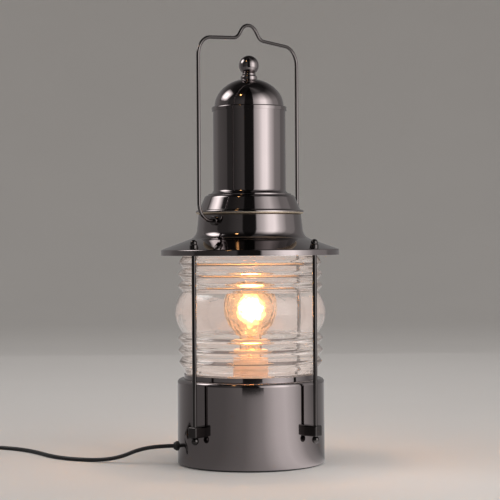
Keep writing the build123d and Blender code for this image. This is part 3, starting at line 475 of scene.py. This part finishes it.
class Maker(Tree):
    """A geometry node tree with named inputs, run once and kept as a plain mesh."""

    def __init__(self, name, finish):
        self.group = bpy.data.node_groups.new(name, "GeometryNodeTree")
        super().__init__(self.group)
        self.finish = finish
        self.sizes = {}
        self.group.interface.new_socket("Geometry", in_out="OUTPUT", socket_type="NodeSocketGeometry")
        self.entry = self.group.nodes.new("NodeGroupInput")
        self.exit = self.group.nodes.new("NodeGroupOutput")

    def size(self, name, value):
        """A named input of the tree."""
        socket = self.group.interface.new_socket(name, in_out="INPUT", socket_type="NodeSocketFloat")
        self.sizes[socket.identifier] = value
        return Value(self, self.entry.outputs[name])

    def place(self, x, y, z):
        return self.node("ShaderNodeCombineXYZ", {}, {"X": x, "Y": y, "Z": z})

    def moved(self, geometry, x, y, z):
        """Geometry with each of its points brought to a place."""
        inputs = {"Geometry": geometry, "Position": self.place(x, y, z)}
        return self.node("GeometryNodeSetPosition", {}, inputs)

    def grid(self, rows, steps):
        """A flat grid that runs from -0.5 to 0.5 both ways."""
        inputs = {"Size X": 1.0, "Size Y": 1.0, "Vertices X": rows, "Vertices Y": steps}
        return self.node("GeometryNodeMeshGrid", {}, inputs, out="Mesh")

    def row(self, count):
        """A row of joined points."""
        return self.node("GeometryNodeMeshLine", {"mode": "OFFSET"}, {"Count": count}, out="Mesh")

    def circle(self, sides, radius):
        inputs = {"Resolution": sides, "Radius": radius}
        return self.node("GeometryNodeCurvePrimitiveCircle", {"mode": "RADIUS"}, inputs)

    def wire(self, count, route, radius, sides):
        """A round wire through a number of points of a route that takes a share from 0 to 1."""
        share = self.node("GeometryNodeInputIndex") / float(count - 1)
        bent = self.moved(self.row(count), *route(share))
        path = self.node("GeometryNodeMeshToCurve", {}, {"Mesh": bent})
        inputs = {"Curve": path, "Profile Curve": self.circle(sides, radius), "Fill Caps": True}
        return self.node("GeometryNodeCurveToMesh", {}, inputs)

    def mesh(self, geometry):
        """Close the tree, run it and return what it made."""
        smooth = self.node("GeometryNodeSetShadeSmooth", {}, {"Geometry": geometry})
        real = self.node("GeometryNodeRealizeInstances", {}, {"Geometry": smooth})
        done = self.node("GeometryNodeSetMaterial", {}, {"Geometry": real, "Material": self.finish})
        self.group.links.new(done.socket, self.exit.inputs[0])
        holder = placed(self.group.name, bpy.data.meshes.new(self.group.name))
        modifier = holder.modifiers.new("make", "NODES")
        modifier.node_group = self.group
        for identifier, value in self.sizes.items():
            modifier[identifier] = value
        bpy.context.view_layer.update()
        made = bpy.data.meshes.new_from_object(holder.evaluated_get(bpy.context.evaluated_depsgraph_get()))
        bpy.data.objects.remove(holder)
        return made


def ribbed_lens():
    """Drum lens: a bulging belt between two banks of rounded ridges, on a stepped foot, moulded hollow."""
    make = Maker("ribbed_lens", lens_glass)
    rows = 304
    steps = 160
    ridges = 3.0
    low = make.size("Foot height", 98.5 * MM)
    high = make.size("Top height", 242.2 * MM)
    middle = make.size("Belt middle", 170.35 * MM)
    half = make.size("Belt half height", 22.95 * MM)
    root = make.size("Root radius", 76.0 * MM)
    bulge = make.size("Belt bulge", 8.6 * MM)
    pitch = make.size("Ridge pitch", 13.1 * MM)
    depth = make.size("Ridge depth", 6.4 * MM)
    fade = make.size("Ridge fade", 0.06)
    soft = make.size("Tip rounding", 0.08)
    bore = make.size("Bore radius", 70.0 * MM)
    follow = make.size("Inner wave depth", 3.85 * MM)
    foot = make.size("Foot radius", 73.4 * MM)
    foot_straight = make.size("Foot straight", 4.6 * MM)
    foot_slope = make.size("Foot slope", 5.0 * MM)
    seam = make.size("Seam", 0.02 * MM)

    row, step, _ = make.parts(make.node("GeometryNodeInputPosition"))
    across = row + 0.5
    turn = (step + 0.5) * math.tau
    height = low + (high - low) * across
    away = abs(height - middle)
    sphere = (half * half + bulge * bulge) / (bulge * 2.0)
    belt = ((sphere * sphere - (away * away).least(half * half)) ** 0.5 - sphere + bulge).most(0.0)
    count = ((away - half) / pitch).most(0.0)
    number = count.sum("FLOOR", count).least(ridges - 1.0)
    wave = count - number - 0.5
    tooth = 1.0 - 2.0 * ((wave * wave + soft * soft) ** 0.5 - (soft * soft + 0.25) ** 0.5 + 0.5)
    in_bank = away.sum("GREATER_THAN", away, half) * count.sum("LESS_THAN", count, ridges)
    lessening = (1.0 - fade * number * number) * in_bank
    ridge = depth * tooth.most(0.0) * lessening
    hollow = follow * (0.5 + 0.5 * (wave * math.tau).cosine()) * lessening
    widening = ((height - low - foot_straight) / foot_slope).share()
    outer = foot + (root - foot) * widening + belt + ridge
    inner = bore + belt + hollow

    def wall(grid, radius, level):
        return make.moved(grid, radius * turn.cosine(), radius * turn.sine(), level)

    wall_grid = make.grid(rows, steps)
    rim_grid = make.grid(2, steps)
    walls = [wall(wall_grid, radius, height) for radius in (outer, inner)]
    for level, edge in ((low, foot), (high, root)):
        walls.append(wall(rim_grid, bore + (edge - bore) * across, level))
    joined = make.node("GeometryNodeJoinGeometry", {}, {"Geometry": walls})
    welded = make.node("GeometryNodeMergeByDistance", {}, {"Geometry": joined, "Distance": seam})
    mesh = make.mesh(welded)
    point_outwards(mesh)
    return mesh


def point_outwards(mesh):
    """Turn the faces of a closed mesh outwards and mark its sharp edges."""
    seam = 1e-6
    sharp_angle = math.radians(50)
    work = bmesh.new()
    work.from_mesh(mesh)
    bmesh.ops.remove_doubles(work, verts=work.verts, dist=seam)
    bmesh.ops.recalc_face_normals(work, faces=work.faces)
    work.to_mesh(mesh)
    work.free()
    mesh.set_sharp_from_angle(angle=sharp_angle)


lens = add("ribbed_lens", ribbed_lens(), lens_glass, "lamp", "lens_glass", "fresnel_lens")


def coiled_filament():
    """Fine helix of hot wire bent round an open ring."""
    make = Maker("coiled_filament", hot_wire)
    turns = 46
    per_turn = 10
    sides = 6
    ring = make.size("Ring radius", 13.5 * MM)
    sweep = make.size("Ring angle", math.radians(280.0))
    coil = make.size("Coil radius", 0.75 * MM)
    thick = make.size("Wire radius", 0.22 * MM)
    level = make.size("Height", 174.2 * MM)

    def route(share):
        angle = (math.tau - sweep) / 2.0 + sweep * share
        spin = share * (turns * math.tau)
        reach = ring + coil * spin.cosine()
        return reach * angle.cosine(), reach * angle.sine(), level + coil * spin.sine()

    return make.mesh(make.wire(turns * per_turn, route, thick, sides))


def holder_thread():
    """Rounded screw thread round the outside of the lampholder."""
    make = Maker("holder_thread", holder_plastic)
    turns = 7
    per_turn = 48
    sides = 8
    reach = make.size("Thread radius", 19.4 * MM)
    low = make.size("Thread foot", 102.2 * MM)
    rise = make.size("Thread height", 18.9 * MM)
    thick = make.size("Thread thickness", 0.75 * MM)

    def route(share):
        angle = share * (turns * math.tau)
        return reach * angle.cosine(), reach * angle.sine(), low + rise * share

    return make.mesh(make.wire(turns * per_turn, route, thick, sides))


add("holder_thread", holder_thread(), holder_plastic, "lamp", "holder_plastic")


def relief_ribs(name, start, heading, first_radius, last_radius, count, spacing):
    """Moulded strain-relief rings round a cord sleeve."""
    make = Maker(name, switch_plastic)
    ring_sides = 40
    rib_sides = 8
    gap = make.size("Spacing", spacing * MM)
    small = make.size("First radius", first_radius * MM)
    large = make.size("Last radius", last_radius * MM)
    thick = make.size("Rib thickness", 0.55 * MM)
    number = make.node("GeometryNodeInputIndex")
    points = make.moved(make.row(count), 0.0, 0.0, number * gap)
    inputs = {"Points": points, "Instance": make.circle(ring_sides, 1.0)}
    rings = make.node("GeometryNodeInstanceOnPoints", {}, inputs)
    size = small + (large - small) * (number / float(count - 1))
    inputs = {"Instances": rings, "Scale": make.place(size, size, size)}
    grown = make.node("GeometryNodeScaleInstances", {}, inputs)
    real = make.node("GeometryNodeRealizeInstances", {}, {"Geometry": grown})
    inputs = {"Curve": real, "Profile Curve": make.circle(rib_sides, thick)}
    mesh = make.mesh(make.node("GeometryNodeCurveToMesh", {}, inputs))
    turn = heading.to_track_quat("Z", "Y").to_matrix().to_4x4()
    mesh.transform(Matrix.Translation(start * MM) @ turn)
    return mesh


add("coiled_filament", coiled_filament(), hot_wire, "lamp", "filament_metal", "bulb_filament")

for name in ("bulb_glass", "bulb_stem"):
    nodes[name].visible_shadow = False
lens.visible_shadow = False


# Felt pad

def felt_pad():
    """A felt disc with softened edges."""
    radius = 79.0
    thick = 2.0
    soft = 0.5
    corner = soft * 0.3
    sharp_angle = math.radians(40)
    outline = [
        (0.0, 0.0), (radius - soft, 0.0), (radius - corner, corner), (radius, soft),
        (radius, thick - soft), (radius - corner, thick - corner), (radius - soft, thick), (0.0, thick),
    ]
    work = turned(outline, 128, closed=True)
    bmesh.ops.dissolve_degenerate(work, edges=work.edges, dist=weld)
    bmesh.ops.recalc_face_normals(work, faces=work.faces)
    mesh = mesh_of("felt_base_pad", work)
    mesh.shade_smooth()
    mesh.set_sharp_from_angle(angle=sharp_angle)
    return mesh


pad = add("felt_base_pad", felt_pad(), base_felt, "lamp", "felt", "felt_pad")


# Cord

def cord_curve(name, points, diameter):
    """One smooth round cord along its route."""
    curve = bpy.data.curves.new(name, "CURVE")
    curve.dimensions = "3D"
    curve.bevel_depth = diameter / 2 * MM
    curve.bevel_resolution = 5
    curve.resolution_u = 8
    curve.use_fill_caps = True
    spline = curve.splines.new("NURBS")
    spline.points.add(len(points) - 1)
    for point, (x, y, z) in zip(spline.points, points):
        point.co = (x * MM, y * MM, z * MM, 1.0)
    spline.order_u = 3
    spline.use_endpoint_u = True
    piece = placed(name, curve)
    curve.materials.append(cord_skin)
    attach(piece, "lamp")
    return piece


cord_diameter = 4.5
drum_radius = 82.5
exit_angle = math.radians(135.0)
exit_height = 20.5
cord_exit = (drum_radius * math.cos(exit_angle), drum_radius * math.sin(exit_angle), exit_height)
run_points = [
    (-72.4, 72.4, 20.5), (-84.9, 93.1, 16.5), (-93.3, 115.0, 6.5), (-103.0, 138.3, 2.3),
    (-115.1, 169.0, 2.3), (-114.0, 204.3, 2.3), (-99.1, 245.1, 2.3), (-90.8, 282.8, 2.3),
    (-94.6, 319.2, 2.3), (-109.2, 343.6, 2.3), (-133.7, 348.9, 4.2), (-154.2, 339.0, 7.5),
    (-166.1, 331.3, 7.5),
]
link_points = [(-229.6, 288.5, 4.8), (-241.4, 277.7, 3.2), (-250.5, 269.9, 3.2)]
tail_points = [(-184.9, 240.4, 5.6), (-180.1, 257.5, 5.0), (-174.6, 270.9, 7.0), (-166.0, 279.4, 7.0)]
straight = 3.0 * cord_diameter
switch_entry = Vector(run_points[-1])
switch_along = (switch_entry - Vector(run_points[-2])).normalized()
switch_way = 44.0
plug_entry = Vector(tail_points[-1])
plug_along = (plug_entry - Vector(tail_points[-2])).normalized()


def coil_points(end, heading, diameter):
    """Turns of the put-away coil: in along the table, up a layer, and out again on top."""
    pitch = 5.1
    outer = 36.6
    half_turns = 7
    per_half = 8
    reaches = [outer - pitch / 2 * turn for turn in range(half_turns + 1)]
    reaches.append(reaches[-1] - pitch * 0.3)
    reaches += [reaches[half_turns] + pitch * 0.5 + pitch / 2 * turn for turn in range(half_turns)]
    across = Vector((0, 0, 1)).cross(heading)
    middle = end + heading * diameter + across * outer
    points = []
    for turn, (near, far) in enumerate(zip(reaches, reaches[1:])):
        side = -1 if turn % 2 == 0 else 1
        centre = side * (near - far) / 2
        radius = (near + far) / 2
        low = 0.0 if turn <= half_turns else pitch
        rise = pitch if turn == half_turns else 0.0
        swing = 1.0 / math.cos(math.pi / per_half / 2)
        for step in range(per_half):
            share = (step + 0.5) / per_half
            angle = math.pi * share
            x = centre + side * radius * swing * math.cos(angle)
            y = side * radius * swing * math.sin(angle)
            points.append(middle + across * x - heading * y + Vector((0, 0, low + rise * share)))
    last = middle + across * (1 if len(reaches) % 2 == 0 else -1) * reaches[-1] + Vector((0, 0, pitch))
    return points, last


def cords():
    """One cord from the drum to the switch, and one from the switch through the coil to the plug."""
    first = cord_curve("cord_to_switch", [cord_exit, *run_points], cord_diameter)
    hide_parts("cord_run")
    leave = switch_entry + switch_along * switch_way
    heading = (Vector(link_points[-1]) - Vector(link_points[-2])).normalized()
    turns, last = coil_points(Vector(link_points[-1]), heading, cord_diameter)
    out = last - heading * cord_diameter
    route = [leave, leave + switch_along * straight, *map(Vector, link_points)]
    route += [*turns, out, out - heading * straight, *map(Vector, tail_points)]
    second = cord_curve("cord_to_plug", route, cord_diameter)
    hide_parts("cord_link", "cord_coil", "cord_tail")


cords()


def sleeve_ribs():
    """Ribs on both noses of the switch and on the boot of the plug."""
    nose_start = 24.8
    boot_start = 4.8
    middle = switch_entry + switch_along * (switch_way / 2)
    for name, side in (("switch_ribs_in", -1), ("switch_ribs_out", 1)):
        outward = switch_along * side
        mesh = relief_ribs(
            name, middle + outward * nose_start, outward,
            first_radius=5.7, last_radius=4.5, count=3, spacing=2.3,
        )
        add(name, mesh, switch_plastic, "lamp", "switch_plastic")
    mesh = relief_ribs(
        "plug_ribs", plug_entry - plug_along * boot_start, plug_along,
        first_radius=4.0, last_radius=5.3, count=4, spacing=2.6,
    )
    add("plug_ribs", mesh, switch_plastic, "lamp", "switch_plastic")


sleeve_ribs()


# Camera

view_angle = math.radians(-49.0)
ahead = Vector((-math.sin(view_angle), math.cos(view_angle), 0.0))
right = Vector((math.cos(view_angle), math.sin(view_angle), 0.0))
up = Vector((0.0, 0.0, 1.0))


def in_view(x, y, z):
    """A place given to the right of, behind and above the lamp as the camera sees it."""
    return right * x + ahead * y + up * z


def camera():
    """The camera, level with the brim and slightly rolled."""
    focal_px = 1685.0
    picture_px = 500.0
    distance = 1.8956
    height = 0.2509
    pitch = math.radians(0.34)
    roll = math.radians(0.36)
    data = bpy.data.cameras.new("camera")
    data.sensor_width = 36.0
    data.lens = focal_px / picture_px * data.sensor_width
    data.clip_start = 0.05
    data.clip_end = 60.0
    piece = placed("camera", data)
    gaze = ahead * math.cos(pitch) - up * math.sin(pitch)
    top = right.cross(gaze)
    side = right * math.cos(roll) - top * math.sin(roll)
    top = top * math.cos(roll) + right * math.sin(roll)
    matrix = Matrix((side, top, -gaze)).transposed().to_4x4()
    matrix.translation = in_view(0.0, -distance, height)
    piece.matrix_world = matrix
    scene.camera = piece


camera()


# Floor and light

white = (1.0, 0.97, 0.96)
amber = (1.0, 0.55, 0.2)


def unseen(piece, *ways):
    """Hide a piece from some kinds of rays."""
    for way in ways:
        setattr(piece, "visible_" + way, False)


def panel(name, corners):
    """A level mesh of one face through four corners."""
    mesh = bpy.data.meshes.new(name)
    mesh.from_pydata([(x, y, 0.0) for x, y in corners], [], [(0, 1, 2, 3)])
    return mesh


def stage():
    """A pale floor that sweeps up all round."""
    ring_step = 500.0
    rings = 6
    flat = 3200.0
    sweep = 2000.0
    sweep_steps = 12
    wall_top = 2700.0
    finish = Finish("pale_paper", {"Roughness": 0.9, "Specular IOR Level": 0.2})
    mottle = finish.noise(scale=3.0, detail=3.0)
    finish.feed("Base Color", finish.blend(mottle, shade(0.70, 0.68, 0.66), shade(0.73, 0.71, 0.69)))
    outline = [(ring_step * step, 0.0) for step in range(rings + 1)]
    for step in range(sweep_steps + 1):
        angle = math.pi / 2 * step / sweep_steps
        outline.append((flat + sweep * math.sin(angle), sweep * (1 - math.cos(angle))))
    outline.append((flat + sweep, wall_top))
    mesh = mesh_of("paper_sweep", turned(outline, 96, closed=False))
    mesh.shade_smooth()
    mesh.materials.append(finish.material)
    floor = placed("paper_sweep", mesh)


stage()


def aim(piece, place, target):
    """Put a piece in a place with its face towards a target."""
    piece.location = place
    piece.rotation_euler = (target - place).to_track_quat("-Z", "Y").to_euler()


def softbox(name, place, target, width, height, radiance):
    """A soft white light of a given brightness that faces a target and is not seen itself."""
    data = bpy.data.lights.new(name, "AREA")
    data.shape = "RECTANGLE"
    data.size = width
    data.size_y = height
    data.energy = radiance * math.pi * width * height
    data.color = white
    piece = placed(name, data)
    aim(piece, place, target)
    unseen(piece, "camera", "transmission", "glossy")


def glow_only(name, strength):
    """The start of a finish that only gives off light."""
    return Finish(name, {"Base Color": unlit, "Emission Strength": strength, "Roughness": 1.0})


def reflector(name, place, target, width, height, radiance, colour, softness):
    """A panel with soft edges that is seen only as a reflection in metal and glass."""
    finish = glow_only(name, radiance)
    across, along, _ = finish.parts(finish.place)
    side_fade = ((1.0 - abs(across) * (2.0 / width)) / softness).share()
    end_fade = ((1.0 - abs(along) * (2.0 / height)) / softness).share()
    finish.feed("Emission Color", finish.blend(side_fade * end_fade, unlit, shade(*colour)))
    x = width / 2
    y = height / 2
    mesh = panel(name, [(-x, -y), (-x, y), (x, y), (x, -y)])
    mesh.materials.append(finish.material)
    piece = placed(name, mesh)
    aim(piece, place, target)
    unseen(piece, "camera", "diffuse", "transmission", "shadow")


lamp_middle = Vector((0.0, 0.0, 0.25))


def toward(bearing, rise, distance):
    """A place at a bearing from the camera's side, positive to the right, and an angle above the lamp."""
    level = math.cos(math.radians(rise)) * distance
    side = math.sin(math.radians(bearing)) * level
    near = -math.cos(math.radians(bearing)) * level
    return in_view(side, near, lamp_middle.z + math.sin(math.radians(rise)) * distance)


reflector(
    "left_high", toward(-100.0, 40.0, 1.5), lamp_middle,
    width=1.05, height=0.9, radiance=5.0, colour=white, softness=0.7,
)
reflector(
    "warm_spot", toward(-36.0, 52.0, 1.6), lamp_middle,
    width=0.16, height=0.16, radiance=16.0, colour=amber, softness=0.5,
)
softbox("right_light", toward(45.0, 42.0, 2.4), lamp_middle, width=1.5, height=1.5, radiance=1.9)
softbox("left_light", toward(-70.0, 42.0, 2.4), lamp_middle, width=1.8, height=1.6, radiance=0.6)
softbox("overhead", Vector((0.0, 0.0, 2.6)), lamp_middle, width=2.6, height=2.6, radiance=0.9)


def bulb_light(name, energy, radius):
    """A ball of warm light in the middle of the bulb, seen only through glass."""
    height = 0.1720
    data = bpy.data.lights.new(name, "POINT")
    data.energy = energy
    data.color = (1.0, 0.43, 0.12)
    data.shadow_soft_size = radius
    piece = placed(name, data)
    piece.location = (0.0, 0.0, height)
    unseen(piece, "camera")


bulb_light("bulb_light", energy=0.46, radius=0.0130)
bulb_light("bulb_halo", energy=0.04, radius=0.0185)


def glass_wall():
    """A pale room that is seen through the glass only, lighter above, so that clear glass looks clear."""
    radius = 3.0
    depth = 2.8
    middle = 1.2
    lift_foot = 0.7
    lift_height = 0.9
    finish = Finish("pale_wall", {"Emission Strength": 0.85, "Base Color": unlit})
    cloud = finish.noise(scale=0.6, detail=2.0)
    lift = ((finish.parts(finish.place)[2] - lift_foot) / lift_height).share()
    tone = finish.blend(cloud, shade(0.53, 0.42, 0.375), shade(0.53, 0.45, 0.41))
    finish.feed("Emission Color", finish.blend(lift, tone, shade(1.0, 0.92, 0.87)))
    work = bmesh.new()
    bmesh.ops.create_cone(
        work, cap_ends=True, segments=64, radius1=radius, radius2=radius, depth=depth,
        matrix=Matrix.Translation((0.0, 0.0, middle)),
    )
    mesh = mesh_of("pale_wall", work)
    mesh.materials.append(finish.material)
    wall = placed("pale_wall", mesh)
    unseen(wall, "camera", "diffuse", "glossy", "shadow")


glass_wall()


def mirror_only(name, mesh, finish, height):
    """A piece of the studio, set square to the camera, that is seen only as a reflection."""
    mesh.materials.append(finish.material)
    piece = placed(name, mesh)
    piece.location = (0.0, 0.0, height)
    piece.rotation_euler = (0.0, 0.0, view_angle)
    unseen(piece, "camera", "diffuse", "transmission", "shadow")


def round_the_lamp(name, strength, panels):
    """A glow that changes with the bearing round the lamp, from pairs of bearing and brightness."""
    finish = glow_only(name, strength)
    side, depth, height = finish.parts(finish.place)
    bearing = side.sum("ARCTAN2", side, depth * -1.0) / math.tau + 0.5
    stops = [(0.5 + angle / 360.0, tuple(light * part for part in white)) for angle, light in panels]
    return finish, finish.ramp(bearing, *stops), height


def light_tent():
    """Soft panels round the lamp: a bright one on the right, dim ones on the left, none by the camera."""
    radius = 1.75
    finish, panels, height = round_the_lamp("light_tent", 3.2, (
        (-180, 0.06), (-155, 0.08), (-125, 0.10), (-112, 0.07), (-76, 0.05), (-73, 0.02), (-50, 0.02),
        (-26, 0.04), (-17, 0.045), (-14.5, 0.005), (13, 0.006), (15.5, 0.3), (30, 0.55), (42, 0.9),
        (56, 1.0), (68, 0.55), (84, 0.26), (86, 0.2), (112, 0.16), (116, 0.10), (155, 0.08), (180, 0.06),
    ))
    full = (1.0, 1.0, 1.0)
    faint = (0.06, 0.06, 0.06)
    fade = finish.ramp(height / radius, (0.0, full), (0.42, full), (0.86, faint))
    finish.feed("Emission Color", finish.blend(fade, unlit, panels))
    work = bmesh.new()
    bmesh.ops.create_uvsphere(work, u_segments=96, v_segments=48, radius=radius)
    mirror_only("light_tent", mesh_of("light_tent", work), finish, 0.3)


def table_sheen():
    """The table as the metal mirrors it: lit from the right, dark in front of the camera."""
    reach = 1.8
    finish, panels, _ = round_the_lamp("table_sheen", 1.6, (
        (-180, 0.40), (-150, 0.24), (-100, 0.11), (-40, 0.14), (-8, 0.22), (16, 0.42), (36, 0.85),
        (52, 1.0), (66, 0.8), (80, 0.45), (110, 0.16), (150, 0.22), (180, 0.40),
    ))
    finish.feed("Emission Color", panels)
    corners = [(-reach, -reach), (reach, -reach), (reach, reach), (-reach, reach)]
    mirror_only("table_sheen", panel("table_sheen", corners), finish, 0.0008)


def camera_shade():
    """The dark edge of the table by the camera, seen only as a reflection."""
    finish = Finish("camera_shade", {"Base Color": shade(0.004, 0.004, 0.004), "Roughness": 1.0})
    corners = [(-0.60, -2.35), (0.80, -2.35), (0.34, -0.98), (-0.22, -0.98)]
    mirror_only("camera_shade", panel("camera_shade", corners), finish, 0.0016)


light_tent()
table_sheen()
camera_shade()

world = bpy.data.worlds.new("studio")
world.use_nodes = True
sky = world.node_tree.nodes["Background"].inputs
sky["Color"].default_value = shade(0.8, 0.78, 0.76)
sky["Strength"].default_value = 0.40
scene.world = world

scene.view_settings.view_transform = "Standard"
